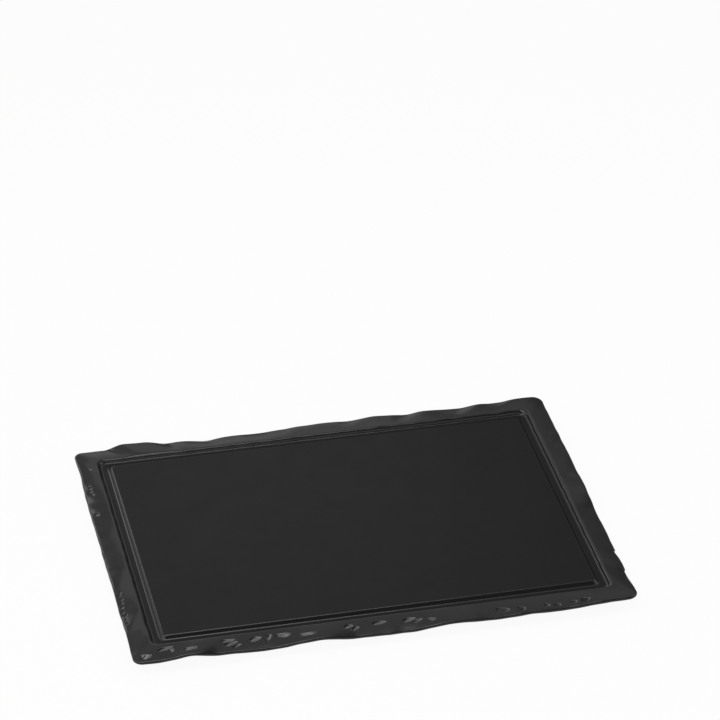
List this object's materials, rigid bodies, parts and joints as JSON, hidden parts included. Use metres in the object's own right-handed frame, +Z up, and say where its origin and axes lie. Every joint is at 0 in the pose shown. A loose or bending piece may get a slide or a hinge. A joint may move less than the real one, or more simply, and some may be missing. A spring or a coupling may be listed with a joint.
{
  "type": "serving tray",
  "caption": "Rectangular black-glazed serving tray with a flat panel inside a juice groove, a rim with a wavy torn-look edge, a foot ring and anti-slip pads.",
  "frame": {"origin": "centre of the tray in plan, on the surface that its pads stand on", "axes": "+X along the tray's length, +Y towards its back long side, +Z up out of the serving panel"},
  "size_m": [0.4, 0.3, 0.0175],
  "materials": {
    "black_glaze": "satin black glaze, glossier in the dents of the rim",
    "silicone": "matte moulded silicone",
    "adhesive": "foam adhesive disc"
  },
  "bodies": {
    "root": {"tray_body": "black_glaze", "foot_pad_front_left": "silicone", "foot_pad_front_right": "silicone", "foot_pad_back_left": "silicone", "foot_pad_back_right": "silicone", "adhesive_disc_front_left": "adhesive", "adhesive_disc_front_right": "adhesive", "adhesive_disc_back_left": "adhesive", "adhesive_disc_back_right": "adhesive"}
  },
  "joints": []
}
